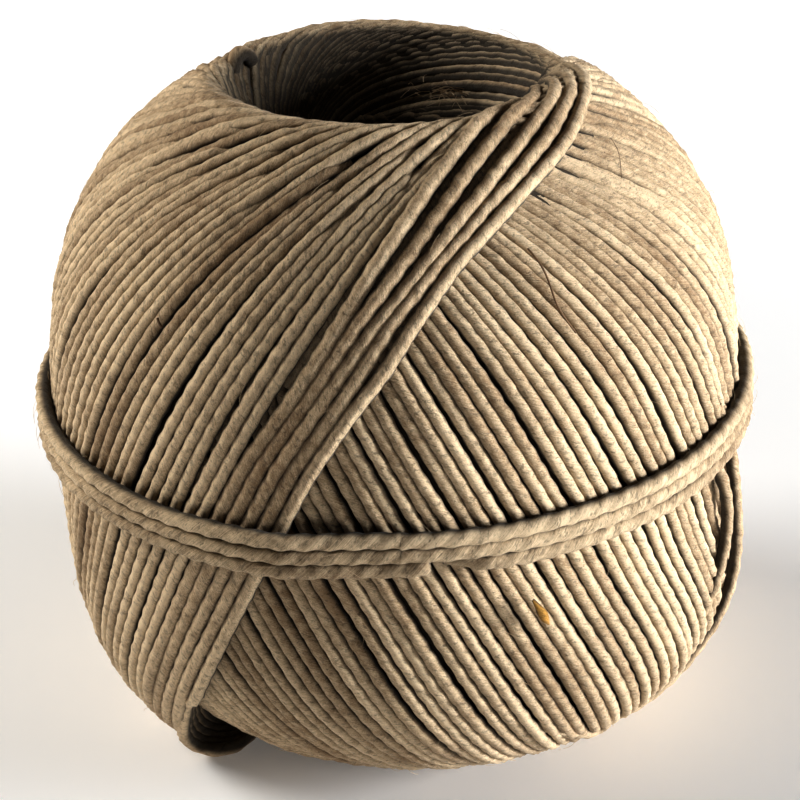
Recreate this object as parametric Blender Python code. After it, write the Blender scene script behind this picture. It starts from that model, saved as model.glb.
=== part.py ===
"""A ball of natural garden twine, wound on the slant round an open core.

Metres, +Z up. The ball stands on its flat foot, and its front faces -Y.
Azimuths are degrees round the axis: 0 at the front, 90 at the right (+X).

Each turn of the twine climbs the ball on the slant as a "/", rounds the rim of
the core hole and comes down on the other side as a "\\". The next turn lies
beside it, a little further round, and in time each covers what lies below it.
So the newest turn parts the ball in two: turns that climb show on one side of
it and on the whole upper rim, turns that fall on the other and the lower rim.
"""

from math import cos, pi, radians, sin

import bpy
import numpy as np

# The ball: sizes in metres, angles in degrees
BALL_RADIUS = 0.0558           # axis to the outermost turns at the waist
TWINE_DIAMETER = 0.0021
NEWEST_TURN = -20.5            # azimuth where the last turn climbs through the waist
CORE_RADIUS = 0.0165           # the bore that the winding spindle left
FUNNEL_SLOPE = 62.0            # wall of the funnel at each end of the bore, against the floor
RIM_ROUNDING = 0.0042
RIM_JOIN = 0.52                # where the rounding starts, against the ball's radius
TURN_SHARE = 0.72              # how far round the rim's rounding a turn goes before it turns back
FOOT_HEIGHT = 0.0536           # waist to the flat foot

# Each end of the ball is a superellipse quarter: its reach, its squareness,
# how much of a layer's step is left at its rim, and whether its rim rises and falls
TOP_END = (0.0586, 2.48, 0.5, True)
FOOT_END = (0.0583, 2.8, 0.12, False)

# The upper rim isn't level: azimuth and its height above the waist, and the span,
# in degrees that a turn has gone since the waist, over which the ball rises to it
RIM_HEIGHTS = (
    (17, 0.0553), (49, 0.0548), (68, 0.0548), (85, 0.0536), (99, 0.0526), (130, 0.0513), (165, 0.0516),
    (194, 0.0524), (232, 0.0522), (270, 0.0530), (300, 0.0550), (326, 0.0554), (348, 0.0556),
)
RIM_FROM, RIM_TO = 32.0, 64.0

# The mesh follows the turns: columns run along them, rings cross them
RIDGES = 80                    # ridges in a full round, each a bundle of neighbouring turns
RIDGE_COLUMNS = 3
COLUMNS = RIDGES * RIDGE_COLUMNS
COLUMN_STEP = 360 / COLUMNS
RIM_LEVEL = COLUMNS // 4       # levels count column steps that a turn has gone since the waist
RING_LEVELS = (0, 3, 8, 12, 16, 21, 27, 35, 46, RIM_LEVEL)
RIDGE_DEPTH = 0.0011           # groove between two ridges at the waist
BORE_COLUMNS = 48

# Slack turns stand off the ball low on its left and on its right: which side of the
# newest turn, height, column and level in the middle, then reach in columns and levels
SLACKS = (
    (1, 0.0042, 14, -26, 40, 20),
    (-1, 0.0048, 80, 10, 40, 17),
)
BAND_LEVEL = 3                 # the band holds the turns down this far from the waist
BAND_HOLD = 6                  # and its hold fades over this many levels

# The band: turns of the same twine round the waist, pressed into one strip
BAND_TURNS = 3
BAND_PITCH = 0.00235
BAND_THICKNESS = 0.0021
BAND_GROOVE = 0.0007           # depth of the groove between two band turns
BAND_HEIGHT = 0.0016           # middle of the band above the ball's widest ring
LOBE_POINTS = 4
BAND_STATIONS = 96
BAND_LEAN = 4.0                # degrees that a ball turn moves round across half the band's height
END_AZIMUTH = 4.5              # where the band's free end is tucked in
END_SWELL = 0.0006
NOTCH_AZIMUTH = 8.0
NOTCH_DEPTH = 0.0009
END_WIDTH = 1.9                # degrees
FINE_FROM, FINE_TO, FINE_STEPS = -3.0, 15.0, 12

GAP = 0.0003                   # clearance between touching pieces


def clear_scene():
    for item in list(bpy.data.objects):
        bpy.data.objects.remove(item, do_unlink=True)


def twine_material(name, colour, roughness):
    material = bpy.data.materials.new(name)
    material.use_nodes = True
    shader = material.node_tree.nodes["Principled BSDF"]
    shader.inputs["Base Color"].default_value = (*colour, 1.0)
    shader.inputs["Roughness"].default_value = roughness
    shader.inputs["Metallic"].default_value = 0.0
    return material


def mesh_object(name, vertices, faces, material):
    mesh = bpy.data.meshes.new(name)
    mesh.from_pydata([tuple(map(float, vertex)) for vertex in vertices], [], faces)
    mesh.materials.append(material)
    mesh.shade_smooth()
    mesh.set_sharp_from_angle(angle=pi / 3)
    made = bpy.data.objects.new(name, mesh)
    bpy.context.scene.collection.objects.link(made)
    return made


def stitch(left, right, flip=False):
    """Triangles between two lines of (place, vertex), both in rising order, seen from outside."""
    faces = []
    a = b = 0
    while a < len(left) - 1 or b < len(right) - 1:
        at_left_end = a == len(left) - 1
        at_right_end = b == len(right) - 1
        if at_right_end or (not at_left_end and left[a + 1][0] <= right[b + 1][0]):
            face = (left[a][1], right[b][1], left[a + 1][1])
            a += 1
        else:
            face = (left[a][1], right[b][1], right[b + 1][1])
            b += 1
        if len(set(face)) == 3:
            faces.append(face[::-1] if flip else face)
    return faces


class EndProfile:
    """Section of one end of the ball, from the waist over the rim to the bore.

    Heights are measured away from the waist, so both ends use the same sums.
    """

    def __init__(self, reach, squareness, rim_layer_share, uneven):
        self.rim_layer_share = rim_layer_share
        self.uneven = uneven
        sweep = np.linspace(0, pi / 2, 400)
        radius = BALL_RADIUS * np.cos(sweep) ** (2 / squareness)
        height = reach * np.sin(sweep) ** (2 / squareness)
        keep = radius > RIM_JOIN * BALL_RADIUS
        outer = np.stack([radius[keep], height[keep]], axis=1)
        slope = outer[-1] - outer[-2]
        start = np.arctan2(slope[1], slope[0])
        end = pi + radians(FUNNEL_SLOPE)
        headings = np.linspace(start, end, 60)
        stride = RIM_ROUNDING * (headings[1] - headings[0])
        steps = np.stack([np.cos(headings), np.sin(headings)], axis=1) * stride
        rim = outer[-1] + np.cumsum(steps, axis=0)
        fall = np.array([-cos(radians(FUNNEL_SLOPE)), -sin(radians(FUNNEL_SLOPE))])
        self.mouth = rim[-1]
        self.bore = rim[-1] + fall * (rim[-1][0] - CORE_RADIUS) / -fall[0]
        turn = len(outer) + int(TURN_SHARE * len(rim))
        self.points = np.concatenate([outer, rim])[:turn]
        self.angles = self.winding_angles()
        self.normals = self.outward_normals()

    def rim_lift(self, azimuth):
        """Height of the rim at this azimuth over the section's own crest."""
        if not self.uneven:
            return 0.0
        places, heights = zip(*RIM_HEIGHTS)
        return np.interp(azimuth % 360, places, heights, period=360) - self.points[:, 1].max()

    def rim_blend(self, angle):
        share = min(max((angle - RIM_FROM) / (RIM_TO - RIM_FROM), 0), 1)
        return share ** 2 * (3 - 2 * share) if self.uneven else 0

    def winding_angles(self):
        """Azimuth gained by a turn along the section: a taut path that has turned back at the end."""
        radius = (self.points[1:, 0] + self.points[:-1, 0]) / 2
        length = np.hypot(*np.diff(self.points, axis=0).T)
        low, high = 0.2 * BALL_RADIUS, BALL_RADIUS
        for _ in range(50):
            turning_radius = (low + high) / 2
            lean = np.minimum(turning_radius / radius, 0.985)
            gained = np.degrees(lean / np.sqrt(1 - lean ** 2) * length / radius)
            if gained.sum() > 90:
                high = turning_radius
            else:
                low = turning_radius
        return np.concatenate([[0], np.cumsum(gained)])

    def outward_normals(self):
        slope = np.gradient(self.points, axis=0)
        normal = np.stack([slope[:, 1], -slope[:, 0]], axis=1)
        return normal / np.linalg.norm(normal, axis=1)[:, None]

    def at(self, angle, lift):
        radius = np.interp(angle, self.angles, self.points[:, 0])
        height = np.interp(angle, self.angles, self.points[:, 1])
        out = np.interp(angle, self.angles, self.normals[:, 0])
        up = np.interp(angle, self.angles, self.normals[:, 1])
        return radius + out * lift, height + up * lift


class Ball:
    """The ball's mesh. Side 1 holds the turns that climb, side -1 those that fall.

    A turn that falls is a turn that climbs, upside down, so both sides share
    their sums. On each side column 0 is the newest turn, and later ones are older.
    """

    def __init__(self):
        self.ends = {1: EndProfile(*TOP_END), -1: EndProfile(*FOOT_END)}
        self.vertices = []
        self.known = {}
        self.faces = []

    def place(self, radius, azimuth, height):
        angle = radians(azimuth)
        level = max(height, -FOOT_HEIGHT)
        self.vertices.append((radius * sin(angle), -radius * cos(angle), level))
        return len(self.vertices) - 1

    def vertex(self, side, column, level):
        if column == 0 and level == -RIM_LEVEL:
            return self.vertex(-side, 0, RIM_LEVEL)     # the newest turn goes on, on the other side
        key = (side, column, level)
        if key not in self.known:
            angle = level * COLUMN_STEP
            azimuth = NEWEST_TURN - column * COLUMN_STEP + angle + (0 if side == 1 else 180)
            if column and level == column / 2 - RIM_LEVEL:
                azimuth += COLUMN_STEP / 2              # ends beside the newest turn, not under it
            half = side if level > 0 else -side
            end = self.ends[half]
            lift = lift_of(side, column, level, end.rim_layer_share)
            blend = end.rim_blend(abs(angle))
            lift += (end.rim_lift(azimuth) - lift) * blend
            radius, height = end.at(abs(angle), lift)
            self.known[key] = self.place(radius, azimuth, height * half)
        return self.known[key]

    def line(self, side, column):
        """A column's vertices, from where it comes out from under the newest turn to the rim."""
        start = column / 2 - RIM_LEVEL
        levels = [start] + [level for level in all_levels() if level > start]
        return [(level, self.vertex(side, column, level)) for level in levels]

    def add_side(self, side):
        lines = [self.line(side, column) for column in range(COLUMNS + 1)]
        for column in range(COLUMNS):
            self.faces += stitch(lines[column + 1], lines[column], side == -1)
        # The step down from the newest turn to the older ones that end beside it
        under = [(RIM_LEVEL - column / 2, self.vertex(-side, column, column / 2 - RIM_LEVEL))
                 for column in range(COLUMNS, -1, -1)]
        self.faces += stitch(lines[0], under, side == -1)
        return self.add_funnel(side)

    def add_funnel(self, side):
        """The funnel inside a rim, down to the bore. Returns the bore's ring."""
        turn_back = NEWEST_TURN + 90 + (0 if side == 1 else 180)
        rim = [(-column * COLUMN_STEP, self.vertex(side, column, RIM_LEVEL))
               for column in range(COLUMNS, -1, -1)]
        rim.append((COLUMN_STEP / 2, rim[0][1]))
        rings = [rim]
        end = self.ends[side]
        for radius, height in (end.mouth, end.bore):
            places = [-360 + 360 / BORE_COLUMNS * step for step in range(BORE_COLUMNS)]
            ring = []
            for place in places:
                azimuth = turn_back + place
                rise = end.rim_lift(azimuth) if radius > CORE_RADIUS else 0
                ring.append((place, self.place(radius, azimuth, (height + rise) * side)))
            ring.append((0, ring[0][1]))
            rings.append(ring)
        for lower, upper in zip(rings, rings[1:]):
            self.faces += stitch(upper, lower, side == -1)
        return [vertex for place, vertex in rings[-1][:-1]]

    def build(self, material):
        top_ring = self.add_side(1)
        foot_ring = self.add_side(-1)
        # Both rings start at the azimuth where the newest turn turned back, half a round apart
        half = BORE_COLUMNS // 2
        foot_ring = foot_ring[half:] + foot_ring[:half]
        upper = list(enumerate(top_ring + top_ring[:1]))
        lower = list(enumerate(foot_ring + foot_ring[:1]))
        self.faces += stitch(lower, upper)
        return mesh_object("twine_ball", self.vertices, self.faces, material)


def all_levels():
    return [-level for level in RING_LEVELS[:0:-1]] + list(RING_LEVELS)


def lift_of(side, column, level, rim_layer_share):
    """Height of a mesh point over the newest turn's surface."""
    age = column * COLUMN_STEP
    layer_share = 1 - (1 - rim_layer_share) * (abs(level) / RIM_LEVEL) ** 1.5
    lift = -TWINE_DIAMETER * age / 180 * layer_share
    if column % RIDGE_COLUMNS == RIDGE_COLUMNS - 1:
        lift -= RIDGE_DEPTH * (1 - (abs(level) / RIM_LEVEL) ** 2) ** 0.5
    free = 1 - np.exp(-(max(abs(level) - BAND_LEVEL, 0) / BAND_HOLD) ** 2)
    for slack_side, height, middle, slack_level, columns, levels in SLACKS:
        if side == slack_side:
            away = ((column - middle) / columns) ** 2 + ((level - slack_level) / levels) ** 2
            lift += height * np.exp(-away) * free
    return lift


def waist_lift(azimuth):
    """The top layer's height at the waist, at this azimuth."""
    climbing = (NEWEST_TURN - azimuth) % 360
    falling = (NEWEST_TURN + 180 - azimuth) % 360
    return -TWINE_DIAMETER * min(climbing, falling) / 180


def belt_radii(azimuths):
    """Radius of a tight belt round the waist: it bridges the hollows beside the newest turn."""
    every = np.arange(0, 360, 1.0)
    shifts = (-BAND_LEAN, 0, BAND_LEAN)
    bare = np.array([max(waist_lift(azimuth + shift) for shift in shifts) for azimuth in every])
    bare += BALL_RADIUS
    away = np.abs((every[:, None] - every[None, :] + 180) % 360 - 180)
    support = np.where(away < 60, bare[None, :] * np.cos(np.radians(away)), 0).max(axis=1)
    away = np.abs((azimuths[:, None] - every[None, :] + 180) % 360 - 180)
    belt = np.where(away < 60, support[None, :] / np.cos(np.radians(np.minimum(away, 60))), 1)
    return belt.min(axis=1)


def band_section(azimuth, inner):
    """Outline of the band, as radius and height: flat inside, a lobe for each turn outside."""
    bottom = BAND_HEIGHT - BAND_TURNS * BAND_PITCH / 2
    top = BAND_HEIGHT + BAND_TURNS * BAND_PITCH / 2
    edge = BAND_THICKNESS / 4
    points = [(inner, top - edge), (inner, bottom + edge)]
    swell = END_SWELL * np.exp(-((azimuth - END_AZIMUTH) / END_WIDTH) ** 2)
    notch = NOTCH_DEPTH * np.exp(-((azimuth - NOTCH_AZIMUTH) / END_WIDTH) ** 2)
    for turn in range(BAND_TURNS):
        middle = bottom + (turn + 0.5) * BAND_PITCH
        proud = swell - notch if turn == 0 else 0
        for step in range(LOBE_POINTS):
            across = (step + 0.5) / LOBE_POINTS * 2 - 1
            crown = BAND_THICKNESS - BAND_GROOVE * across ** 2 + proud * (1 - across ** 2)
            points.append((inner + crown, middle + across * BAND_PITCH / 2))
    return points


def build_band(material):
    fine = np.linspace(FINE_FROM, FINE_TO, FINE_STEPS + 1)
    coarse = np.linspace(FINE_TO, FINE_FROM + 360, BAND_STATIONS - FINE_STEPS)[1:-1]
    azimuths = np.concatenate([fine, coarse])
    outlines = []
    vertices = []
    for azimuth, radius in zip(azimuths, belt_radii(azimuths) + GAP):
        angle = radians(azimuth)
        outline = []
        for reach, height in band_section(azimuth, radius):
            outline.append((len(outline), len(vertices)))
            vertices.append((reach * sin(angle), -reach * cos(angle), height))
        outline.append((len(outline), outline[0][1]))
        outlines.append(outline)
    outlines.append(outlines[0])
    faces = []
    for station, following in zip(outlines, outlines[1:]):
        faces += stitch(station, following)
    return mesh_object("waist_band", vertices, faces, material)


def stand_on_origin(parts):
    """Put the middle of the base of the whole thing at the origin."""
    corners = np.array([vertex.co[:] for part in parts for vertex in part.data.vertices])
    low, high = corners.min(axis=0), corners.max(axis=0)
    for part in parts:
        part.location = (-(low[0] + high[0]) / 2, -(low[1] + high[1]) / 2, -low[2])


def main():
    clear_scene()
    ball = Ball().build(twine_material("natural_twine", (0.42, 0.31, 0.19), 0.75))
    band = build_band(twine_material("band_twine", (0.47, 0.35, 0.21), 0.75))
    stand_on_origin([ball, band])


main()
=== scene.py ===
from math import cos, pi, radians, sin

import bpy
import numpy as np
from mathutils import Matrix, Vector


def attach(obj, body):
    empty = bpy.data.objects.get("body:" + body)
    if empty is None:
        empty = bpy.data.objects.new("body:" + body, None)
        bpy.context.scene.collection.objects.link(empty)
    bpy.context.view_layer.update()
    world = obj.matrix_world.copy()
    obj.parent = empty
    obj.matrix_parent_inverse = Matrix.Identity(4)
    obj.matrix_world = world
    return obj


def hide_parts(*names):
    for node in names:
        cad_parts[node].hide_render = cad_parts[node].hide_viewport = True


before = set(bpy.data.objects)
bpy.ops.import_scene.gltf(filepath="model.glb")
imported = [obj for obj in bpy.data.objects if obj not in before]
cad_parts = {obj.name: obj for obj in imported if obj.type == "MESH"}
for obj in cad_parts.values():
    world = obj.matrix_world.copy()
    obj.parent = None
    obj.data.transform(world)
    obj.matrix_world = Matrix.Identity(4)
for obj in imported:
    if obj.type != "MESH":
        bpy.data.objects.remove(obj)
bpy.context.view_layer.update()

# shared sizes: metres, degrees round the core with 0 at the front and 90 at the right
ball = {
    "radius": 0.0558,
    "strand": 0.0021,            # thickness of the twine
    "waist": 0.0536,             # height of the widest ring over the floor
    "newest": -20.5,             # azimuth where the last turn climbs through the waist
    "turns": 140,                # turns in a full round of the ball
    "core": 0.0165,
    "funnelSlope": 62.0,
    "rimRounding": 0.0042,
    "rimJoin": 0.52,
    "topEnd": (0.0586, 2.48),    # reach and squareness of each end
    "footEnd": (0.0583, 2.8),
    "boreDepth": 0.012,          # how far the core's wall is followed down
    "rimTurn": 0.72,             # the share of the rim's bend where the turns lie level
}
sectionStep = 1e-4               # from one point of the section to the next
shiftX = 1e-5
shiftY = 2.1e-4
rng = np.random.default_rng(41)


def smoothStep(x):
    x = np.clip(x, 0, 1)
    return x * x * (3 - 2 * x)


# the ball's section, one end at a time: from the waist over the rim down into the core
def makeEnd(reach, squareness):
    sweep = np.linspace(0, pi / 2, 900)
    r = ball["radius"] * np.cos(sweep) ** (2 / squareness)
    z = reach * np.sin(sweep) ** (2 / squareness)
    keep = r > ball["rimJoin"] * ball["radius"]
    outer = np.stack([r[keep], z[keep]], axis=1)
    slope = outer[-1] - outer[-2]
    end = pi + radians(ball["funnelSlope"])
    headings = np.linspace(np.arctan2(slope[1], slope[0]), end, 200)
    stride = ball["rimRounding"] * (headings[1] - headings[0])
    steps = np.stack([np.cos(headings), np.sin(headings)], axis=1) * stride
    rim = outer[-1] + np.cumsum(steps, axis=0)
    fall = np.array([cos(end), sin(end)])
    wall = rim[-1] + fall * np.linspace(0, (rim[-1][0] - ball["core"]) / -fall[0], 80)[1:, None]
    bore = wall[-1] + np.array([0, -1]) * np.linspace(0, ball["boreDepth"], 60)[1:, None]
    points = np.concatenate([outer, rim, wall, bore])
    length = np.concatenate([[0], np.cumsum(np.hypot(*np.diff(points, axis=0).T))])
    s = np.arange(0, length[-1], sectionStep)
    r, z = np.interp(s, length, points[:, 0]), np.interp(s, length, points[:, 1])
    dr, dz = np.gradient(r), np.gradient(z)
    norm = np.hypot(dr, dz)
    turnAt = length[len(outer) + int(ball["rimTurn"] * len(rim))]
    return {"s": s, "r": r, "z": z, "out": dz / norm, "up": -dr / norm, "turn": turnAt,
            "crest": s[np.argmax(z)]}


topEnd = makeEnd(*ball["topEnd"])
footEnd = makeEnd(*ball["footEnd"])


# a turn's place along the section for each degree that it has gone round since the waist
def tautPath(end, turnAt):
    r = end["r"][end["s"] < turnAt]
    low, high = 0.2 * r[0], r[0]
    for _ in range(40):
        rho = (low + high) / 2
        lean = np.minimum(rho / r, 0.985)
        gained = np.degrees(lean / np.sqrt(1 - lean ** 2) * sectionStep / r)
        low, high = (low, rho) if gained.sum() > 90 else (rho, high)
    return np.concatenate([[0], np.cumsum(gained)[:-1]]), end["s"][:len(r)]


def turnPath(end, levels, turnAt, leaveAt=60):
    g, s = tautPath(end, end["turn"])
    start = np.interp(leaveAt, g, s)
    slope = (np.interp(leaveAt + 1, g, s) - np.interp(leaveAt - 1, g, s)) / 2
    x = (levels - leaveAt) / (90 - leaveAt)
    run = 90 - leaveAt
    curve = ((2 * x ** 3 - 3 * x ** 2 + 1) * start + (x ** 3 - 2 * x ** 2 + x) * run * slope
             + (3 * x ** 2 - 2 * x ** 3) * turnAt)
    return np.where(levels < leaveAt, np.interp(levels, g, s), curve)


def onSection(s, key):
    # s counts up the ball from the waist; below the waist it is negative
    return np.where(s >= 0, np.interp(np.abs(s), topEnd["s"], topEnd[key]),
                    np.interp(np.abs(s), footEnd["s"], footEnd[key]))


def placeOn(az, s, height):
    r = onSection(s, "r") + onSection(s, "out") * height
    z = onSection(s, "z") + onSection(s, "up") * height
    z = np.where(s >= 0, z, -z)
    t = np.radians(az)
    return np.stack([r * np.sin(t) + shiftX, -r * np.cos(t) + shiftY, z + ball["waist"]], axis=-1)


# how high the top of each turn lies, against the newest turn's surface
relief = {
    "rimHeight": ((-60, 55.0), (-34, 55.4), (-12, 55.6), (17, 55.3), (49, 54.8), (68, 54.8), (85, 53.6),
                  (99, 52.6), (130, 51.3), (165, 51.6), (194, 52.4), (232, 52.2), (270, 53.0), (300, 55.0)),
    "rimFrom": 32,               # degrees gone round the ball where the rim's heights begin to hold
    "rimTo": 64,
    "footFade": (0.88, 1.5),     # the steps between the sheets fade towards the foot: share, power
    "fallingSink": 0.2,          # falling turns go under the climbing ones by this share at once
    "underSpan": 15,             # degrees of age in which an older sheet slips under a newer one
    # slack places, in columns and levels of so many degrees: side, height, middle, reach
    "grid": 1.5,
    "slack": ((1, 0.0042, 14, -26, 40, 20), (-1, 0.0048, 80, 10, 40, 17)),
    "tight": (3, 6),             # levels by the band that slack leaves alone, and its fade
}


def rimLift(az):
    at, height = np.array(relief["rimHeight"]).T
    crest = topEnd["z"].max()
    return np.interp(az % 360, at % 360, height * 1e-3, period=360) - crest


def lift(side, age, g, az):
    d = ball["strand"]
    fade, power = relief["footFade"]
    footShare = 1 - fade * np.minimum(np.abs(g) / 90, 1) ** power
    out = -d * age / 180 * np.where(g < 0, footShare, 1.0)
    if side < 0:
        out = out - d * np.where(g > 0, relief["fallingSink"] + g / 90, 0) * smoothStep(g / 30)
    mix = smoothStep((g - relief["rimFrom"]) / (relief["rimTo"] - relief["rimFrom"]))
    # on the rim the older sheet lies under the newer one
    up = np.clip(g, 0, 90)
    under = smoothStep((age - (180 - 2 * up if side < 0 else 180 + 2 * up)) / relief["underSpan"])
    out = out * (1 - mix) + rimLift(az) * mix - d * under * (0.5 + 0.5 * mix) * smoothStep(up / 25)
    column, level = age / relief["grid"], g * side / relief["grid"]
    tight, loosen = relief["tight"]
    free = 1 - np.exp(-(np.maximum(np.abs(level) - tight, 0) / loosen) ** 2)
    for slackSide, height, middle, slackLevel, columns, levels in relief["slack"]:
        if side == slackSide:
            away = ((column - middle) / columns) ** 2 + ((level - slackLevel) / levels) ** 2
            out = out + height * np.exp(-away) * free
    return out


# strands: each is a line of points with its thickness and a tone of its own
winding = {
    "spacing": 0.0007,
    "thickness": (0.93, 1.03),
    "overlap": 12,               # degrees that a turn goes on under the sheet that covers it
    "roomShare": 0.86,           # near the rims only so many turns find room side by side
    "leastShown": 0.12,
    "lowered": 0.0005,           # how far a turn without room lies under its neighbours
    "buried": 0.0011,            # and how much deeper where they close over it
    "wander": 0.00012,
    "unevenHeight": 0.00013,
    "bundles": (2, 5),           # neighbouring turns that lie close together
    "bundleSqueeze": 0.075,
    "wallFrom": 60,              # a climbing turn crosses the rim and goes down the core's wall
    "wallTo": 0.0875,
    "wallRoom": 0.52,            # turns lie closer together on the wall, so that no gap shows
    "leastOnWall": 0.33,
    "dive": 0.0030,              # how far past the bend of the rim a turn goes, and at the foot
    "footDive": 0.0012,
    "diveScatter": 0.0006,
    "rankStep": 0.6180339887,    # spreads the turns without room evenly among their neighbours
    "sinkSpan": 0.12,
    "closedRoom": 0.00125,       # neighbours close over a turn where less room than this is left
    "closingSpan": 0.00035,
    "dropped": 0.85,             # a turn that is sunk by more than this share isn't made
    "twist": 140.0,              # turns of the plies in a metre
}
# how steeply a turn goes down the wall of the core, by azimuth, in degrees
wallSlope = ((0, 32), (60, 30), (90, 13), (130, 10), (165, 15), (190, 26), (210, 42), (232, 56),
             (260, 60), (290, 50), (320, 38))
# the newest turns leave the others over the shoulder and dive in at one place: azimuth in
# degrees and height along the section in millimetres, one row for each turn
newestPaths = (
    ((-6.8, 23.5), (-1.7, 29.1), (3.1, 35.6), (11.6, 43.9), (22.2, 49.7), (32.5, 53.9), (45.2, 57.0),
     (58.5, 59.8), (64, 60.8), (70, 61.5), (76, 62.0), (82, 62.2), (88, 62.5), (93, 64.0), (98, 67.5),
     (102, 72), (107, 80)),
    ((-9.0, 24), (-4.3, 30.6), (0.3, 36.9), (9.3, 44.9), (21, 51.8), (35.3, 57.3), (51.5, 61.2),
     (58, 62.4), (64, 63.1), (70, 63.7), (76, 64.8), (81, 67.2), (86, 72), (92, 81)),
    ((-11.2, 25), (-7.1, 30.6), (-3.1, 35.8), (5, 43.4), (14.2, 50.5), (25.8, 56.8), (38.5, 61.0),
     (47, 63.0), (55, 64.1), (62, 64.9), (68, 66.0), (74, 68.2), (80, 73), (86, 81)),
    ((-13.6, 25), (-9.8, 30.6), (-6.1, 35.8), (0.8, 43.3), (8.2, 50.2), (17.8, 57.0), (26, 60.8),
     (35.6, 63.9), (45, 65.5), (54, 66.4), (62, 67.3), (69, 69.6), (75, 74), (81, 82)),
    ((-16.6, 24), (-13, 29.6), (-9.2, 35.6), (-3.4, 43.3), (1.9, 49.4), (9.0, 56.0), (17.0, 60.8),
     (25.3, 64.4), (35, 66.6), (45, 67.8), (54, 68.9), (61, 71), (67, 75), (73, 82)),
)
# the newest turns lie proud of the turns beside them, and filling strands lie under them
newestTurns = {
    "rise": 0.0006,
    "thicker": 1.14,
    "wander": 0.4,
    "ownPathFrom": 0.015,        # lower down they follow the law of all the turns
    "plunge": 0.004,             # how far their ends drop behind the core's wall
    "plungeFrom": 0.070,
    "plungeSpan": 0.009,
    "hookFrom": -0.033,          # where the last turn leaves the ball for its hook at the foot
    "fillingSink": 0.0009,
    "fillingDrop": 0.0014,       # and how much deeper the filling lies low on the ball
    "fillingFrom": 0.026,
    "pastLast": (-3.4, 1.0),     # from the fifth turn's places to the next, in degrees and millimetres
}


def alongStrand(points):
    return np.concatenate([[0], np.cumsum(np.linalg.norm(np.diff(points, axis=0), axis=1))])


def evenly(points, extra, spacing):
    at = alongStrand(points)
    count = max(int(at[-1] / spacing), 3) + 1
    to = np.linspace(0, at[-1], count)
    out = np.stack([np.interp(to, at, points[:, i]) for i in range(3)], axis=1)
    return out, [np.interp(to, at, e) for e in extra], to


def soften(values, sigma):
    half = int(3 * sigma)
    kernel = np.exp(-0.5 * (np.arange(-half, half + 1) / sigma) ** 2)
    ends = 2 * values[0] - values[half:0:-1], 2 * values[-1] - values[-2:-half - 2:-1]
    return np.convolve(np.concatenate([ends[0], values, ends[1]]), kernel / kernel.sum(), mode="valid")


def slowNoise(count, reach, generator):
    knots = generator.normal(0, 1, max(int(count / reach) + 4, 5))
    x = np.linspace(0, len(knots) - 1.001, count)
    i = x.astype(int)
    t = smoothStep(x - i)
    return knots[i] * (1 - t) + knots[np.minimum(i + 1, len(knots) - 1)] * t


def bundleShifts(count):
    shifts = np.zeros(count)
    k = 0
    while k < count:
        size = rng.integers(*winding["bundles"])
        members = np.arange(k, min(k + size, count))
        shifts[members] = (members - members.mean()) * winding["bundleSqueeze"]
        k += size
    return shifts


def downTheWall(az, s):
    # from the rim's far side a climbing turn follows the wall until it meets the bore
    places, slopes = np.array(wallSlope, float).T
    azs, ss = [], []
    gone = 0.0
    while s < winding["wallTo"] and gone < 170:
        slope = np.interp(az % 360, places, slopes, period=360)
        slope = 22 + (slope - 22) * smoothStep(gone / 16)
        r = float(np.interp(s, topEnd["s"], topEnd["r"]))
        az += 1.0
        gone += 1.0
        s += radians(1.0) * r * np.tan(radians(slope))
        azs.append(az)
        ss.append(s)
    return np.array(azs), np.array(ss)


def cylinderPoints(rows):
    # rows of azimuth in degrees, radius and height over the floor in millimetres
    az, r, z = np.array(rows, float).T
    t = np.radians(az)
    return np.stack([r * np.sin(t), -r * np.cos(t), z], axis=1) * 1e-3 + np.array([shiftX, shiftY, 0])


def smoothLine(points, spacing=0.0005, sigma=4):
    at = alongStrand(points)
    to = np.arange(0, at[-1], spacing)
    return np.stack([soften(np.interp(to, at, points[:, i]), sigma) for i in range(3)], axis=1)


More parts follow.
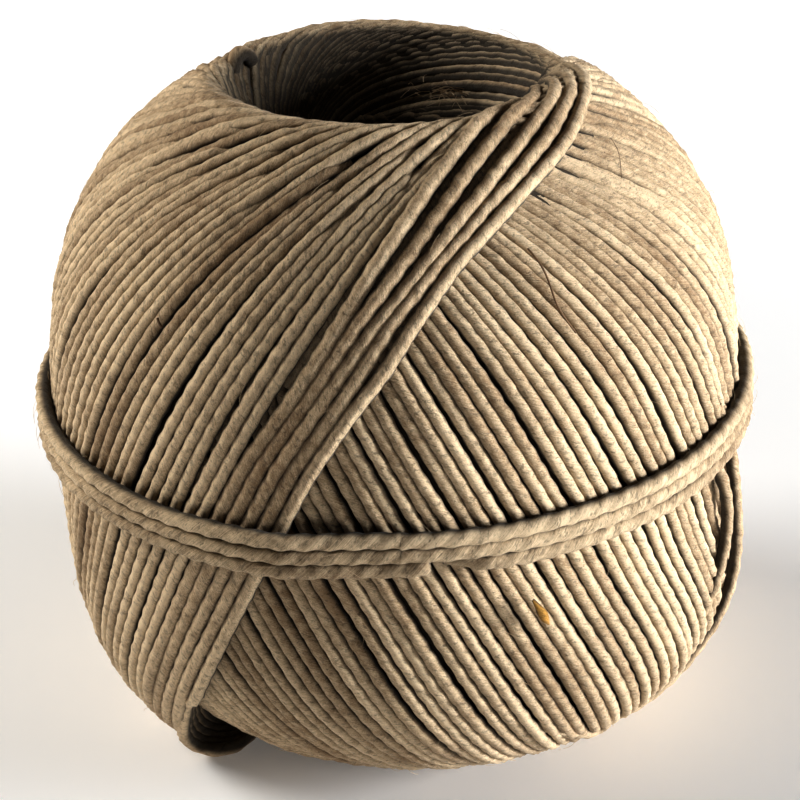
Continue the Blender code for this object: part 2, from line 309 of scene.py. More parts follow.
# single strands that stand off the ball, as azimuth, radius and height
footHook = np.array(((-41, 51.0, 20.5), (-44.5, 49.6, 14.5), (-48.5, 47.6, 8.6), (-51.6, 45.2, 4.4),
                     (-52.8, 43.2, 1.9), (-51.6, 42.0, 1.2), (-49.4, 41.2, 1.1), (-47.4, 39.0, 1.1),
                     (-47.6, 35.6, 1.3), (-50, 31, 2.2), (-53, 27, 5.5)))
standingTurns = (
    ((24, 51.0, 44.3), (26.8, 51.8, 36.1), (29.4, 52.4, 29.7), (32.2, 52.4, 24.6), (36, 51.4, 19.1),
     (39.3, 49.6, 14.4), (41.6, 47.3, 10.4), (41.6, 46.0, 8.9), (39.2, 46.3, 9.2), (35.7, 47.3, 11.1),
     (30.4, 49.2, 14.2), (26.9, 50.2, 16.8), (22, 50.2, 19), (19, 48.5, 20.5)),
    ((64.5, 53.8, 60), (66, 55.4, 56), (67.7, 56.5, 46), (69.5, 56.9, 36), (70, 56.7, 29.5),
     (69.3, 56.0, 24.5), (67.2, 54.8, 20.4), (64.5, 53.2, 17.2), (61, 51.4, 14.2), (56, 49.4, 11.6),
     (51, 47.2, 9.6), (45, 44.4, 8.4), (39, 41.4, 9)),
    ((66.5, 53.2, 60), (68.5, 54.6, 56), (71, 55.4, 46), (73, 55.6, 36), (73.2, 55.4, 29.5),
     (72, 54.8, 24.5), (69.6, 53.7, 20.4), (66.4, 52.1, 16.8), (62.5, 50.2, 13.6), (57.5, 48.2, 10.9),
     (52, 46, 8.9), (46, 43.2, 7.7), (40, 40.2, 8.3)),
    ((68.5, 52.4, 60), (71.5, 53.6, 56), (75, 54.3, 46), (77, 54.5, 36), (76.8, 54.3, 29.5),
     (75, 53.6, 24.5), (72, 52.4, 19.9), (68.4, 50.8, 16.1), (64.1, 48.8, 12.8), (58.8, 46.7, 10.1),
     (53, 44.6, 8.2), (47, 41.9, 7), (41, 39, 7.6)),
    ((61, 54, 53.5), (62.6, 56.0, 49), (64.6, 56.4, 43), (65.4, 56.2, 37.5), (64.6, 55.6, 32),
     (62, 54.8, 27), (58.2, 53.4, 22.4), (53.8, 51.6, 18), (49.4, 49.2, 13.8), (45, 46.6, 11),
     (40, 43.6, 9.6)),
)
rimKnot = ((-112, 25.8, 103.8), (-114.5, 25.8, 105.8), (-117.5, 25.5, 106.8), (-120.5, 25.1, 106.1),
           (-122.5, 24.6, 104.0))
waistSlub = ((19.7, 55.7, 45.2), (20.4, 56.1, 44.0), (21.1, 56.2, 42.6), (21.8, 56.0, 41.2),
             (22.4, 55.5, 40.0))
curledFibre = ((24.9, 45.0, 95.6), (25.6, 46.3, 95.0), (26.6, 47.8, 92.8), (26.7, 49.3, 90.6),
               (26.4, 50.3, 88.6), (27.3, 51.0, 87.2), (28.7, 51.4, 85.6), (29.5, 51.6, 84.2))
fineHair = ((59.6, 37.6, 102.8), (58.0, 39.8, 101.6), (54.5, 41.0, 100.6), (52.2, 42.3, 99.0))
darkChip = ((-40.6, 51.2, 85.8), (-40.0, 51.5, 85.2), (-39.4, 51.4, 84.5))


def newestPath(k):
    # a turn and a half is the filling strand that lies under turns 1 and 2
    first = np.array(newestPaths[int(k)])
    if not k % 1:
        return first
    second = first + newestTurns["pastLast"]
    if k < len(newestPaths) - 1:
        second = np.array(newestPaths[int(k) + 1])
    rows = []
    for path in (first, second):
        at = np.linspace(0, 1, len(path))
        to = np.linspace(0, 1, 40)
        rows.append(np.stack([np.interp(to, at, path[:, 0]), np.interp(to, at, path[:, 1])], axis=1))
    return (rows[0] + rows[1]) / 2


def newestTurn(k, g, s, az):
    # low down the law of the turns holds; higher up the turn follows its own places
    path = newestPath(k)
    low = s < newestTurns["ownPathFrom"]
    azs, ss = np.concatenate([az[low], path[:, 0]]), np.concatenate([s[low], path[:, 1] * 1e-3])
    r = onSection(ss, "r")
    strides = np.hypot(np.diff(ss), np.radians(np.diff(azs)) * (r[1:] + r[:-1]) / 2)
    at = np.concatenate([[0], np.cumsum(strides)])
    to = np.arange(0, at[-1], 0.0005)
    azs, ss = soften(np.interp(to, at, azs), 3), soften(np.interp(to, at, ss), 3)
    return np.where(ss < s[-1], np.interp(ss, s, g), 90), ss, azs


def shownShare(s, room, crossesRim):
    # the share of the turns that find room to show
    onWall = smoothStep((s - topEnd["crest"] + 0.002) / 0.004)
    share = winding["roomShare"] * (1 - onWall) + winding["wallRoom"] * onWall
    shown = np.clip(room / (share * ball["strand"]), winding["leastShown"], 1)
    if crossesRim:
        # the turns that show on the rim are the ones that show on the wall
        inner = s > topEnd["crest"]
        shown[inner] = np.maximum(np.minimum.accumulate(shown[inner]), winding["leastOnWall"])
    return shown


def newestLift(k, level, s):
    rise = smoothStep((level - 10) / 20)
    if k % 1:
        return -newestTurns["fillingSink"] - newestTurns["fillingDrop"] * (1 - rise)
    return newestTurns["rise"] * rise


def windSheet(side):
    strands = []
    step = 360 / ball["turns"]
    count = ball["turns"] + 4
    shifts = bundleShifts(count)
    shifts[:len(newestPaths) + 1] = 0
    filling = [k + 0.5 for k in range(len(newestPaths))] if side > 0 else []
    dives = ((1, topEnd, winding["dive"]), (-1, footEnd, winding["footDive"]))
    for k in list(range(count)) + filling:
        age = k * step
        newest = side > 0 and k < len(newestPaths)
        rank = (k * winding["rankStep"] + 0.3) % 1 if k > len(newestPaths) else 0.0
        start = max(-90, -90 + age / 2 - winding["overlap"])
        last = winding["wallFrom"] if side > 0 else 90
        g = np.arange(min(start, last - 4), last + 0.01, 0.5)     # degrees gone round since the waist
        level = g * side                           # the same, counted up the ball
        s = np.zeros(len(g))
        for sign, end, deeper in dives:
            half = level * sign > 0
            turnAt = end["turn"] + deeper + rng.normal(0, winding["diveScatter"])
            s[half] = sign * turnPath(end, np.abs(level[half]), turnAt)
        az = ball["newest"] - age + (g if side > 0 else 180 + g)
        if newest:
            level, s, az = newestTurn(k, g, s, az)
        elif side > 0:
            azWall, sWall = downTheWall(az[-1], s[-1])
            az, s = soften(np.concatenate([az, azWall]), 4), soften(np.concatenate([s, sWall]), 4)
            level = np.concatenate([g, g[-1] + np.arange(1, len(azWall) + 1)])
        r = onSection(s, "r")
        # room: how far apart neighbours lie, across them
        alongUp, alongRound = np.gradient(s), r * np.radians(np.gradient(az))
        room = radians(step) * r * np.abs(alongUp) / np.hypot(alongUp, alongRound)
        sink = smoothStep((rank - shownShare(s, room, side > 0 and not newest)) / winding["sinkSpan"])
        closing = smoothStep((winding["closedRoom"] - room) / winding["closingSpan"])
        sinking = sink * (winding["lowered"] + winding["buried"] * closing)
        high = lift(side, age, level, az) - sinking
        if newest:
            plunge = smoothStep((s - newestTurns["plungeFrom"]) / newestTurns["plungeSpan"])
            high = high + newestLift(k, level, s) - newestTurns["plunge"] * plunge
        middle = 1 - smoothStep((np.abs(level) - 55) / 25)
        high = high + slowNoise(len(s), 30, rng) * winding["unevenHeight"] * middle
        across = slowNoise(len(s), 26, rng) * winding["wander"] + shifts[int(k)] * radians(step) * r
        az = az + np.degrees(across / r) * (newestTurns["wander"] if newest else 1) * middle
        thick = ball["strand"] / 2 * rng.uniform(*winding["thickness"])
        thick = thick * (newestTurns["thicker"] if newest else 1)
        points = placeOn(az, s, high - thick)
        if side > 0 and k == 0:
            hook = cylinderPoints(footHook)[::-1]
            points = smoothLine(np.concatenate([hook, points[s > newestTurns["hookFrom"]]]))
            sinking = np.zeros(len(points))
        points[:, 2] = np.maximum(points[:, 2], thick)
        tone = rng.uniform(0, 1)
        keep = sinking < winding["dropped"] * (winding["lowered"] + winding["buried"])
        if k % 1:
            keep = s > newestTurns["fillingFrom"]
        for piece in np.split(np.arange(len(points)), np.flatnonzero(np.diff(keep.astype(int))) + 1):
            if keep[piece[0]] and len(piece) > 10:
                strands.append((points[piece], thick, tone))
    return strands


print("laying the turns")
climbing = windSheet(1)
falling = windSheet(-1)
print(len(climbing), "climbing,", len(falling), "falling")

# the band's turns
band = {
    "pitch": 0.00228, "height": 0.0016, "thick": 0.00123, "turns": 3,
    "wobble": 0.00008,
    # the lowest turn's end is rounded and a little thicker, and its start is tucked in
    "endAzimuth": 4.4, "endFrom": 357, "endSpan": 6, "endProud": 0.0003, "endThicker": 0.10, "tip": 1.6,
    "tuckFrom": 13.5, "tuckTo": 6.3, "tuckIn": 0.0012, "tuckUp": 0.0005, "tuckThinner": 0.45,
}


def waistLift(az):
    climb = (ball["newest"] - az) % 360
    fall = (ball["newest"] + 180 - az) % 360
    return -ball["strand"] * np.minimum(climb, fall) / 180


def beltRadius(az):
    every = np.arange(0, 360, 1.0)
    bare = ball["radius"] + np.max([waistLift(every + shift) for shift in (-4, 0, 4)], axis=0)
    away = np.abs((every[:, None] - every[None, :] + 180) % 360 - 180)
    support = np.where(away < 60, bare[None, :] * np.cos(np.radians(away)), 0).max(axis=1)
    away = np.abs((az[:, None] - every[None, :] + 180) % 360 - 180)
    near = away < 60
    return np.where(near, support[None, :] / np.cos(np.radians(np.minimum(away, 60))), 1).min(axis=1)


def bandStrands():
    strands = []
    for turn in range(band["turns"]):
        # turn 0 is the lowest: it runs from its tucked start round to its rounded end
        if turn == 0:
            az = np.arange(band["tuckTo"], band["endAzimuth"] + 360.01, 0.5)
        else:
            az = np.arange(0, 360.01, 0.5)
        r = beltRadius(az) + band["thick"] * 0.98
        z = band["height"] + (turn - 1) * band["pitch"] + slowNoise(len(az), 30, rng) * band["wobble"]
        thick = np.full(len(az), band["thick"])
        if turn == 0:
            tuck = 1 - smoothStep((az - band["tuckTo"]) / (band["tuckFrom"] - band["tuckTo"]))
            last = smoothStep((az - band["endFrom"]) / band["endSpan"])
            tip = np.clip((az - band["endAzimuth"] - (360 - band["tip"])) / band["tip"], 0, 1)
            r = r - band["tuckIn"] * tuck + band["endProud"] * last
            z = z + band["tuckUp"] * tuck + band["endProud"] * last
            thick = thick * (1 - band["tuckThinner"] * tuck)
            thick = thick * (1 + band["endThicker"] * last) * np.sqrt(1 - 0.9 * tip ** 2)
        t = np.radians(az)
        points = np.stack([r * np.sin(t) + shiftX, -r * np.cos(t) + shiftY, z + ball["waist"]], axis=-1)
        strands.append((points, thick, 0.35 + 0.2 * turn))
    return strands


banding = bandStrands()

# Geometry Nodes: strands from lines of points
def link(tree, a, b):
    tree.links.new(a, b)


def node(tree, kind, **values):
    made = tree.nodes.new(kind)
    for key, value in values.items():
        setattr(made, key, value)
    return made


def feed(tree, socket, value):
    # a socket takes another node's output or a plain value
    if isinstance(value, bpy.types.NodeSocket):
        link(tree, value, socket)
    else:
        socket.default_value = value


def maths(tree, operation, *values):
    made = node(tree, "ShaderNodeMath", operation=operation)
    for socket, value in zip(made.inputs, values):
        feed(tree, socket, value)
    return made.outputs[0]


def vectorMaths(tree, operation, *values, out="Vector"):
    made = node(tree, "ShaderNodeVectorMath", operation=operation)
    for socket, value in zip(made.inputs, values):
        feed(tree, socket, value)
    return made.outputs[out]


def scaled(tree, vector, amount):
    made = node(tree, "ShaderNodeVectorMath", operation="SCALE")
    feed(tree, made.inputs[0], vector)
    feed(tree, made.inputs["Scale"], amount)
    return made.outputs[0]


def noise(tree, place, scale, detail, roughness=0.5):
    made = node(tree, "ShaderNodeTexNoise")
    for name, value in (("Vector", place), ("Scale", scale), ("Detail", detail), ("Roughness", roughness)):
        feed(tree, made.inputs[name], value)
    return made.outputs[0]


def mapped(tree, value, low, high, toLow=0.0, toHigh=1.0, curve="SMOOTHSTEP"):
    made = node(tree, "ShaderNodeMapRange", interpolation_type=curve)
    for name, number in (("From Min", low), ("From Max", high), ("To Min", toLow), ("To Max", toHigh)):
        made.inputs[name].default_value = number
    link(tree, value, made.inputs["Value"])
    return made.outputs[0]


def through(tree, kind, shape, inputs=None, **values):
    # a node that works on the shape that goes through it
    made = node(tree, kind, **values)
    link(tree, shape, made.inputs[0])
    for name, value in (inputs or {}).items():
        feed(tree, made.inputs[name], value)
    return made.outputs[0]


def readAttribute(tree, name, kind="FLOAT"):
    made = node(tree, "GeometryNodeInputNamedAttribute", data_type=kind)
    made.inputs["Name"].default_value = name
    return made.outputs["Attribute"]


def storeAttribute(tree, shape, name, value, kind="FLOAT"):
    return through(tree, "GeometryNodeStoreNamedAttribute", shape, {"Name": name, "Value": value},
                   data_type=kind, domain="POINT")


def newTree(name, kind, inputs, outputs):
    tree = bpy.data.node_groups.new(name, kind)
    for direction, sockets in (("INPUT", inputs), ("OUTPUT", outputs)):
        for label, what in sockets:
            tree.interface.new_socket(label, in_out=direction, socket_type="NodeSocket" + what)
    return tree, node(tree, "NodeGroupInput").outputs, node(tree, "NodeGroupOutput").inputs


def outwardFrom(tree, centre):
    spot = node(tree, "GeometryNodeInputPosition").outputs[0]
    return vectorMaths(tree, "NORMALIZE", vectorMaths(tree, "SUBTRACT", spot, centre))


def finishTree(tree, shape, finish, leave):
    shape = through(tree, "GeometryNodeRealizeInstances", shape)
    shape = through(tree, "GeometryNodeSetMaterial", shape, {"Material": finish})
    link(tree, shape, leave)
    return tree


def strandTree():
    tree, enter, leave = newTree(
        "twineStrand", "GeometryNodeTree",
        (("Geometry", "Geometry"), ("Sides", "Int"), ("Twist per metre", "Float"), ("Ply depth", "Float"),
         ("Lump depth", "Float"), ("Lump size", "Float"), ("Centre", "Vector"), ("Finish", "Material")),
        (("Geometry", "Geometry"),))
    thick = readAttribute(tree, "thick")
    line = through(tree, "GeometryNodeMeshToCurve", enter["Geometry"])
    line = through(tree, "GeometryNodeSetCurveRadius", line, {"Radius": thick})
    circle = node(tree, "GeometryNodeCurvePrimitiveCircle")
    circle.inputs["Radius"].default_value = 1.0
    link(tree, enter["Sides"], circle.inputs["Resolution"])
    around = node(tree, "GeometryNodeSplineParameter").outputs["Factor"]
    ring = storeAttribute(tree, circle.outputs["Curve"], "around", around)
    tube = through(tree, "GeometryNodeCurveToMesh", line,
                   {"Profile Curve": ring, "Scale": thick, "Fill Caps": True})
    # lay: where a point is on the twisted strand, as cosine, sine and length
    along = readAttribute(tree, "along")
    turn = maths(tree, "MULTIPLY", along, enter["Twist per metre"])
    angle = maths(tree, "MULTIPLY", maths(tree, "ADD", turn, readAttribute(tree, "around")), 2 * pi)
    lay = node(tree, "ShaderNodeCombineXYZ")
    for socket, value in zip(lay.inputs, (maths(tree, "COSINE", angle), maths(tree, "SINE", angle), along)):
        link(tree, value, socket)
    shape = storeAttribute(tree, tube, "lay", lay.outputs[0], "FLOAT_VECTOR")
    # open: how far a point faces outwards; the sides of a strand lie in their neighbours' shade, and the
    # finish paints that shade into their colour
    normal = node(tree, "GeometryNodeInputNormal").outputs[0]
    facing = vectorMaths(tree, "DOT_PRODUCT", normal, outwardFrom(tree, enter["Centre"]), out="Value")
    shape = storeAttribute(tree, shape, "open", facing)
    # two plies and uneven lumps
    ply = maths(tree, "COSINE", maths(tree, "MULTIPLY", angle, 2.0))
    lumps = noise(tree, node(tree, "GeometryNodeInputPosition").outputs[0], enter["Lump size"], 2.0)
    lump = maths(tree, "MULTIPLY", maths(tree, "SUBTRACT", lumps, 0.5), enter["Lump depth"])
    height = maths(tree, "ADD", maths(tree, "MULTIPLY", ply, enter["Ply depth"]), lump)
    shape = through(tree, "GeometryNodeSetPosition", shape, {"Offset": scaled(tree, normal, height)})
    shape = through(tree, "GeometryNodeSetShadeSmooth", shape)
    return finishTree(tree, shape, enter["Finish"], leave["Geometry"])


def runTree(name, mesh, tree, values):
    carrier = bpy.data.objects.new(name + "Lines", mesh)
    bpy.context.scene.collection.objects.link(carrier)
    modifier = carrier.modifiers.new("build", "NODES")
    modifier.node_group = tree
    for item in tree.interface.items_tree:
        if item.in_out == "INPUT" and item.name in values:
            modifier[item.identifier] = values[item.name]
    graph = bpy.context.evaluated_depsgraph_get()
    made = bpy.data.meshes.new_from_object(carrier.evaluated_get(graph))
    carrier.modifiers.remove(modifier)
    bpy.data.objects.remove(carrier)
    piece = bpy.data.objects.new(name, made)
    bpy.context.scene.collection.objects.link(piece)
    return piece


def linesMesh(name, strands, spacing):
    points, edges, thick, along, tone, heading = [], [], [], [], [], []
    first = 0
    for line, width, colour in strands:
        widths = np.broadcast_to(width, (len(line),)).astype(float)
        even, (widths,), at = evenly(line, [widths], spacing)
        points.append(even)
        edges += [(first + i, first + i + 1) for i in range(len(even) - 1)]
        first += len(even)
        thick.append(widths)
        along.append(at + rng.uniform(0, 1))
        tone.append(np.full(len(even), colour))
        heading.append(np.gradient(even, axis=0))
    mesh = bpy.data.meshes.new(name + "Lines")
    mesh.from_pydata(np.concatenate(points).tolist(), edges, [])
    for key, values in (("thick", thick), ("along", along), ("tone", tone)):
        layer = mesh.attributes.new(key, "FLOAT", "POINT")
        layer.data.foreach_set("value", np.concatenate(values).astype(np.float32))
    layer = mesh.attributes.new("heading", "FLOAT_VECTOR", "POINT")
    layer.data.foreach_set("vector", np.concatenate(heading).astype(np.float32).ravel())
    return mesh


def declare(piece, node):
    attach(piece, "root")
    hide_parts(node)
    print(piece.name, sum(len(p.vertices) - 2 for p in piece.data.polygons), "triangles")


def strandPiece(name, strands, finish, node, sides=8, spacing=None, ply=0.00008, lump=0.00022,
                lumpSize=800.0):
    mesh = linesMesh(name, strands, spacing or winding["spacing"])
    piece = runTree(name, mesh, twineTree, {
        "Sides": sides, "Twist per metre": winding["twist"], "Ply depth": ply, "Lump depth": lump,
        "Lump size": lumpSize, "Centre": (shiftX, shiftY, ball["waist"]), "Finish": finish})
    declare(piece, node)
    return piece


# fine fibres that stand off the twine: some of the points along the strands carry one each
fuzz = {
    "share": 0.04, "length": 0.0034, "thickness": 0.000022, "spread": 0.6, "seed": 5,
    "spacing": 0.002,
    "lengths": (0.4, 1.5),       # the shortest and the longest fibre, against the usual length
    # one fibre, bent, one unit long
    "bend": (("Start", (0, 0, -0.12)), ("Middle", (0.45, 0.1, 0.2)), ("End", (1, -0.12, 0.1))),
}


def randomBetween(tree, low, high, seed=0):
    made = node(tree, "FunctionNodeRandomValue", data_type="FLOAT")
    made.inputs[2].default_value = low
    made.inputs[3].default_value = high
    feed(tree, made.inputs["Seed"], seed)
    return made.outputs[1]


def fuzzTree():
    tree, enter, leave = newTree(
        "strayFibres", "GeometryNodeTree",
        (("Geometry", "Geometry"), ("Share", "Float"), ("Length", "Float"), ("Thickness", "Float"),
         ("Spread", "Float"), ("Seed", "Int"), ("Centre", "Vector"), ("Finish", "Material")),
        (("Geometry", "Geometry"),))
    outward = outwardFrom(tree, enter["Centre"])
    toTop = through(tree, "GeometryNodeSetPosition", enter["Geometry"],
                    {"Offset": scaled(tree, outward, readAttribute(tree, "thick"))})
    chosen = node(tree, "FunctionNodeRandomValue", data_type="BOOLEAN")
    link(tree, enter["Share"], chosen.inputs["Probability"])
    link(tree, enter["Seed"], chosen.inputs["Seed"])
    upright = node(tree, "FunctionNodeAlignRotationToVector", axis="Z")
    link(tree, outward, upright.inputs["Vector"])
    along = node(tree, "FunctionNodeAlignRotationToVector", axis="X", pivot_axis="Z")
    link(tree, upright.outputs[0], along.inputs["Rotation"])
    link(tree, readAttribute(tree, "heading", "FLOAT_VECTOR"), along.inputs["Vector"])
    bend = node(tree, "GeometryNodeCurveQuadraticBezier")
    bend.inputs["Resolution"].default_value = 5
    for name, place in fuzz["bend"]:
        bend.inputs[name].default_value = place
    ring = node(tree, "GeometryNodeCurvePrimitiveCircle")
    ring.inputs["Resolution"].default_value = 3
    link(tree, maths(tree, "DIVIDE", enter["Thickness"], enter["Length"]), ring.inputs["Radius"])
    fibre = through(tree, "GeometryNodeCurveToMesh", bend.outputs[0],
                    {"Profile Curve": ring.outputs["Curve"], "Fill Caps": True})
    size = maths(tree, "MULTIPLY", randomBetween(tree, *fuzz["lengths"], enter["Seed"]), enter["Length"])
    shape = through(tree, "GeometryNodeInstanceOnPoints", toTop, {
        "Selection": chosen.outputs[3], "Instance": fibre, "Rotation": along.outputs[0], "Scale": size})
    swing = node(tree, "ShaderNodeCombineXYZ")
    link(tree, maths(tree, "MULTIPLY", randomBetween(tree, -1.0, 1.0), enter["Spread"]), swing.inputs["Z"])
    shape = through(tree, "GeometryNodeRotateInstances", shape, {"Rotation": swing.outputs[0]})
    return finishTree(tree, shape, enter["Finish"], leave["Geometry"])


def fuzzPiece(name, strands, finish, node, share=1.0):
    piece = runTree(name, linesMesh(name, strands, fuzz["spacing"]), strayTree, {
        "Share": fuzz["share"] * share, "Length": fuzz["length"], "Thickness": fuzz["thickness"],
        "Spread": fuzz["spread"], "Seed": fuzz["seed"], "Centre": (shiftX, shiftY, ball["waist"]),
        "Finish": finish})
    # fibres under the ball lie flat on the floor
    spots = np.empty(len(piece.data.vertices) * 3, np.float32)
    piece.data.vertices.foreach_get("co", spots)
    spots[2::3] = np.maximum(spots[2::3], fuzz["thickness"])
    piece.data.vertices.foreach_set("co", spots)
    declare(piece, node)
    return piece


# finishes; a texture's three numbers are its scale, detail and roughness
fibreLook = {
    "streak": (7.0, 4.0, 0.65), "streakStretch": (1.0, 1.0, 40.0),
    "patch": (700.0, 3.0), "wide": (45.0, 2.0),
    "notch": (1.6, 3.0, 0.7), "notchStretch": (1.0, 1.0, 900.0),
    "shares": (0.75, 0.35, 0.35),          # of streaks, patches and wide patches in a point's tone
    "strandTone": (0.18, -0.09),
    "toneRange": (0.54, 0.86),
    # painted shade on the sides of a strand: this range darkens them by how far they face sideways
    "paintedShadeRange": (-0.1, 0.85, 0.09),     # facing sideways, facing outwards and the darkest shade
    "notchRange": (0.36, 0.47, 0.62),
}


def fibreGroup():
    tree, enter, leave = newTree(
        "bastFibres", "ShaderNodeTree",
        (("Lay", "Vector"), ("Place", "Vector"), ("Tone", "Float"), ("Light", "Color"), ("Dark", "Color"),
         ("Open", "Float")),
        (("Color", "Color"), ("Height", "Float")))
    stretched = vectorMaths(tree, "MULTIPLY", enter["Lay"], fibreLook["streakStretch"])
    streak = noise(tree, stretched, *fibreLook["streak"])
    patch = noise(tree, enter["Place"], *fibreLook["patch"])
    wide = noise(tree, enter["Place"], *fibreLook["wide"])
    mixed = maths(tree, "MULTIPLY_ADD", enter["Tone"], *fibreLook["strandTone"])
    for texture, share in zip((streak, patch, wide), fibreLook["shares"]):
        mixed = maths(tree, "MULTIPLY_ADD", texture, share, mixed)
    colours = node(tree, "ShaderNodeMix", data_type="RGBA")
    link(tree, mapped(tree, mixed, *fibreLook["toneRange"], curve="LINEAR"), colours.inputs["Factor"])
    link(tree, enter["Dark"], colours.inputs[6])
    link(tree, enter["Light"], colours.inputs[7])
    # the sides of a strand are darkened with painted shade, and little notches break up its streaks
    paintedSideShade = mapped(tree, enter["Open"], *fibreLook["paintedShadeRange"])
    stretched = vectorMaths(tree, "MULTIPLY", enter["Lay"], fibreLook["notchStretch"])
    notches = mapped(tree, noise(tree, stretched, *fibreLook["notch"]), *fibreLook["notchRange"])
    shade = maths(tree, "MULTIPLY", paintedSideShade, notches)
    link(tree, scaled(tree, colours.outputs[2], shade), leave["Color"])
    link(tree, maths(tree, "ADD", streak, notches), leave["Height"])
    return tree


fibres = fibreGroup()


def twineFinish(name, light, dark, bump=0.5, stranded=True):
    material = bpy.data.materials.new(name)
    material.use_nodes = True
    tree = material.node_tree
    shader = tree.nodes["Principled BSDF"]
    shader.inputs["Roughness"].default_value = 0.72
    shader.inputs["Sheen Weight"].default_value = 0.1
    shader.inputs["Sheen Roughness"].default_value = 0.5
    shader.inputs["Specular IOR Level"].default_value = 0.25
    group = node(tree, "ShaderNodeGroup", node_tree=fibres)
    lay = node(tree, "ShaderNodeAttribute", attribute_name="lay")
    tone = node(tree, "ShaderNodeAttribute", attribute_name="tone")
    place = node(tree, "ShaderNodeTexCoord")
    link(tree, lay.outputs["Vector"], group.inputs["Lay"])
    link(tree, tone.outputs["Fac"], group.inputs["Tone"])
    link(tree, place.outputs["Object"], group.inputs["Place"])
    # a piece without strands has no such attribute and counts as open all over
    group.inputs["Open"].default_value = 1.0
    if stranded:
        facing = node(tree, "ShaderNodeAttribute", attribute_name="open")
        link(tree, facing.outputs["Fac"], group.inputs["Open"])
    group.inputs["Light"].default_value = (*light, 1)
    group.inputs["Dark"].default_value = (*dark, 1)
    link(tree, group.outputs["Color"], shader.inputs["Base Color"])
    raised = node(tree, "ShaderNodeBump")
    raised.inputs["Strength"].default_value = bump
    raised.inputs["Distance"].default_value = 0.00025
    link(tree, group.outputs["Height"], raised.inputs["Height"])
    link(tree, raised.outputs["Normal"], shader.inputs["Normal"])
    return material


twine = twineFinish("naturalTwine", (0.87, 0.68, 0.445), (0.345, 0.225, 0.12), bump=0.8)
bandTwine = twineFinish("bandTwine", (0.81, 0.635, 0.415), (0.28, 0.185, 0.10), bump=0.8)
twineTree = strandTree()


def splitBy(strands, parts):
    # parts of nearly the same length of twine
    lengths = np.cumsum([alongStrand(points)[-1] for points, _, _ in strands])
    part = np.minimum((lengths / lengths[-1] * parts).astype(int), parts - 1)
    return [[strand for strand, where in zip(strands, part) if where == i] for i in range(parts)]


print("making the strands")
for i, group in enumerate(splitBy(climbing, 2)):
    strandPiece("climbingTurns%d" % (i + 1), group, twine, "twine_ball")
for i, group in enumerate(splitBy(falling, 2)):
    strandPiece("fallingTurns%d" % (i + 1), group, twine, "twine_ball")
strandPiece("bandTurns", banding, bandTwine, "waist_band", sides=14, spacing=0.0005, ply=0.00011,
            lump=0.0003, lumpSize=600.0)

# single strands and bits
single = {"thick": 0.00102, "tone": 0.4, "behindHook": 4, "hookStep": (-0.9, -1.25, 0.35)}


def lineAt(rows, **how):
    return smoothLine(cylinderPoints(rows), **how)


singles = [(lineAt(rows), single["thick"], single["tone"]) for rows in standingTurns]
for inward in range(1, single["behindHook"] + 1):
    rows = footHook[1:] + np.array(single["hookStep"]) * inward
    singles.append((lineAt(rows), single["thick"], single["tone"]))
singles.append((lineAt(rimKnot, sigma=2), 0.00125, 0.1))
strandPiece("standingTurns", singles, twine, "twine_ball", spacing=0.0005)
ochre = twineFinish("ochreSlub", (0.60, 0.33, 0.07), (0.30, 0.14, 0.03))
chaff = twineFinish("brownChaff", (0.30, 0.17, 0.08), (0.10, 0.055, 0.03), stranded=False)
slubLine = lineAt(waistSlub, spacing=0.0003, sigma=1)
slubWidth = 0.0007 * np.sin(np.linspace(0.25, pi - 0.25, len(slubLine)))
strandPiece("waistSlub", [(slubLine, slubWidth, 0.5)], ochre, "twine_ball", spacing=0.0003)
bits = [(lineAt(curledFibre), 0.00015, 0.6), (lineAt(fineHair), 0.00005, 0.3),
        (lineAt(darkChip, spacing=0.0002, sigma=1), 0.0002, 0.0)]
strandPiece("strayBits", bits, chaff, "twine_ball", sides=5, ply=0.0, lump=0.0)

# stray fibres all over
strayTree = fuzzTree()
fibreFinish = twineFinish("strayFibre", (0.80, 0.62, 0.40), (0.45, 0.30, 0.17), stranded=False)
fuzzPiece("ballFuzz", climbing + falling, fibreFinish, "twine_ball")
fuzzPiece("bandFuzz", banding, fibreFinish, "waist_band", share=4.0)

# a tuft of loose fibres on the wall of the mouth, in degrees and millimetres
tuft = {
    "fibres": 34, "azimuth": 150, "radius": 20.6, "height": 96.0,
    "across": 7.0, "upDown": 0.9, "swing": 8, "rise": (0.2, 1.8), "droop": 1.5, "reach": (1.2, 3.6),
    "thickness": 0.00005,        # this one in metres
}
hairs = []
for _ in range(tuft["fibres"]):
    az, z = tuft["azimuth"] + rng.normal(0, tuft["across"]), tuft["height"] + rng.normal(0, tuft["upDown"])
    reach, swing = rng.uniform(*tuft["reach"]), rng.normal(0, tuft["swing"])
    rise = rng.uniform(*tuft["rise"])
    rows = ((az, tuft["radius"] + 0.6, z), (az + 0.3 * swing, tuft["radius"] - 0.6 * reach, z + rise),
            (az + swing, tuft["radius"] - reach, z + rise - rng.uniform(0, tuft["droop"])))
    hairs.append((lineAt(rows, spacing=0.0003, sigma=2), tuft["thickness"], rng.uniform(0, 1)))
strandPiece("mouthTuft", hairs, fibreFinish, "twine_ball", sides=3, spacing=0.0004, ply=0.0, lump=0.0)


# the inner body that closes the gaps between turns, coloured dark as painted shade
inner = {
    "step": 3.0,                 # degrees from one point of a ring to the next
    "each": 12,                  # and every so many points of the section
    "depth": -0.0042,
    "rimDepth": 0.0026,
    "rimFrom": 0.035,
    "rimSpan": 0.03,
    "lowest": 0.0012,
}


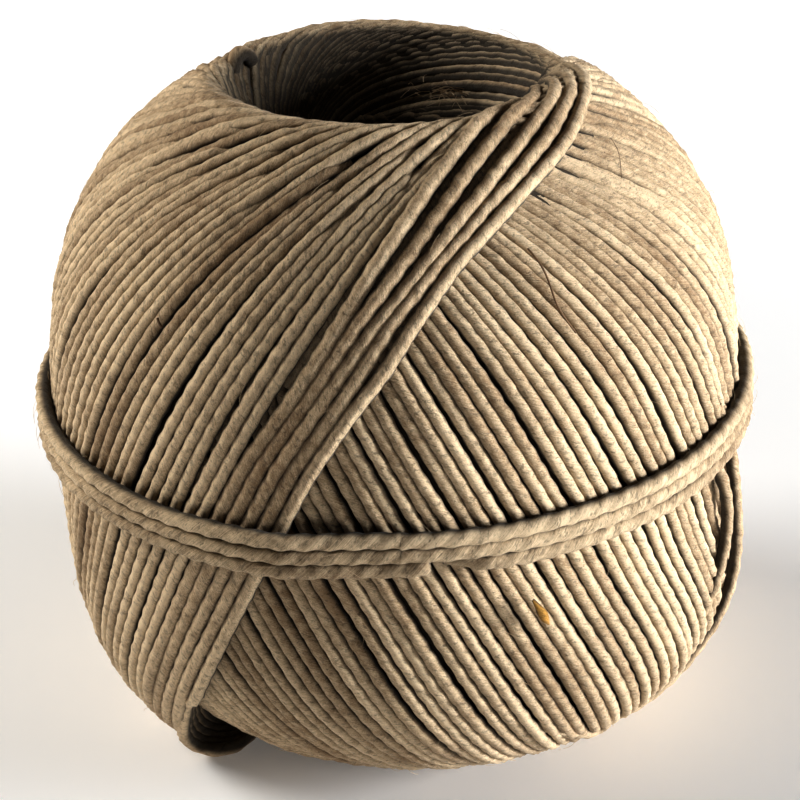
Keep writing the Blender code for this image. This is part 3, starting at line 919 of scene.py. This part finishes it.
def innerBody():
    azimuths = np.arange(0, 360, inner["step"])
    sections = np.concatenate([-footEnd["s"][::-1][::inner["each"]], topEnd["s"][::inner["each"]]])
    rows = []
    for s in sections:
        mix = smoothStep((s - inner["rimFrom"]) / inner["rimSpan"])
        depth = inner["depth"] * (1 - mix) + (rimLift(azimuths) - inner["rimDepth"]) * mix
        rows.append(placeOn(azimuths, np.full(len(azimuths), s), depth))
    vertices = np.concatenate(rows)
    vertices[:, 2] = np.maximum(vertices[:, 2], inner["lowest"])
    n = len(azimuths)
    faces = []
    for i in range(len(rows) - 1):
        for j in range(n):
            a, b = i * n + j, i * n + (j + 1) % n
            faces.append((a, b, b + n, a + n))
    last = (len(rows) - 1) * n
    for j in range(n):
        faces.append((last + j, last + (j + 1) % n, (j + 1) % n, j))
    mesh = bpy.data.meshes.new("woundInside")
    mesh.from_pydata(vertices.tolist(), [], faces)
    mesh.shade_smooth()
    made = bpy.data.objects.new("woundInside", mesh)
    bpy.context.scene.collection.objects.link(made)
    mesh.materials.append(paintedShadeInside)
    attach(made, "root")
    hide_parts("twine_ball")
    return made


# very dark twine: painted shade for the deep gaps between the turns
paintedShadeInside = twineFinish("paintedShadeTwine", (0.10, 0.066, 0.036), (0.03, 0.02, 0.011), stranded=False)
innerBody()

# floor, light, camera
view = {
    "elevation": 0.487338, "roll": 0.033155, "distance": 0.385,
    "photoSize": 800, "focalPixels": 2375.9, "centre": (395.4, 383.3),
}


def plainMaterial(name, colour, roughness):
    material = bpy.data.materials.new(name)
    material.use_nodes = True
    shader = material.node_tree.nodes["Principled BSDF"]
    shader.inputs["Base Color"].default_value = (*colour, 1)
    shader.inputs["Roughness"].default_value = roughness
    return material


floorMesh = bpy.data.meshes.new("floor")
floorMesh.from_pydata([(-3, -3, 0), (3, -3, 0), (3, 3, 0), (-3, 3, 0)], [], [(0, 1, 2, 3)])
floor = bpy.data.objects.new("floor", floorMesh)
bpy.context.scene.collection.objects.link(floor)
paleFloor = plainMaterial("paleFloor", (0.92, 0.92, 0.92), 0.8)
# the floor glows faintly away from the ball, so that it reads as white as a lit studio sweep
floorTree = paleFloor.node_tree
floorShader = floorTree.nodes["Principled BSDF"]
floorShader.inputs["Emission Color"].default_value = (1, 1, 1, 1)
floorPlace = node(floorTree, "ShaderNodeTexCoord").outputs["Object"]
floorReach = vectorMaths(floorTree, "LENGTH", floorPlace, out="Value")
floorGlow = mapped(floorTree, floorReach, 0.05, 0.34, 0.10, 0.42)
link(floorTree, floorGlow, floorShader.inputs["Emission Strength"])
floorMesh.materials.append(paleFloor)


def softLight(name, place, size, power, colour=(1, 1, 1)):
    light = bpy.data.lights.new(name, "AREA")
    light.shape = "DISK"
    light.size = size
    light.energy = power
    light.color = colour
    made = bpy.data.objects.new(name, light)
    made.location = place
    made.rotation_euler = (Vector((0, 0, 0.05)) - Vector(place)).to_track_quat("-Z", "Y").to_euler()
    bpy.context.scene.collection.objects.link(made)


# a low soft light from the right, a weaker one from the left and behind, little from the front
softLight("keyLight", (0.89, -0.16, 0.16), 0.32, 17.4, (0.925, 0.955, 1.0))
softLight("sideLight", (-0.74, 0.24, 0.50), 0.50, 9.2, (1.0, 0.975, 0.93))
world = bpy.data.worlds.new("studio")
world.use_nodes = True
world.node_tree.nodes["Background"].inputs["Color"].default_value = (1, 1, 1, 1)
world.node_tree.nodes["Background"].inputs["Strength"].default_value = 0.025
bpy.context.scene.world = world
bpy.context.scene.view_settings.view_transform = "Standard"
bpy.context.scene.view_settings.gamma = 0.8


def photoCamera():
    e, roll, far = view["elevation"], view["roll"], view["distance"]
    place = Vector((0, -far * cos(e), far * sin(e) + ball["waist"]))
    forward = Vector((0, cos(e), -sin(e)))
    right = Vector((1, 0, 0))
    up = right.cross(forward)
    x = right * cos(roll) - up * sin(roll)
    y = right * sin(roll) + up * cos(roll)
    turn = Matrix((x, y, -forward)).transposed()
    lens = bpy.data.cameras.new("photoCamera")
    lens.sensor_width = 36
    size, (centreX, centreY) = view["photoSize"], view["centre"]
    lens.lens = view["focalPixels"] / size * lens.sensor_width
    lens.shift_x = (size / 2 - centreX) / size
    lens.shift_y = (centreY - size / 2) / size
    lens.clip_start = 0.01
    made = bpy.data.objects.new("photoCamera", lens)
    made.matrix_world = Matrix.Translation(place) @ turn.to_4x4()
    bpy.context.scene.collection.objects.link(made)
    bpy.context.scene.camera = made


photoCamera()

print("done")
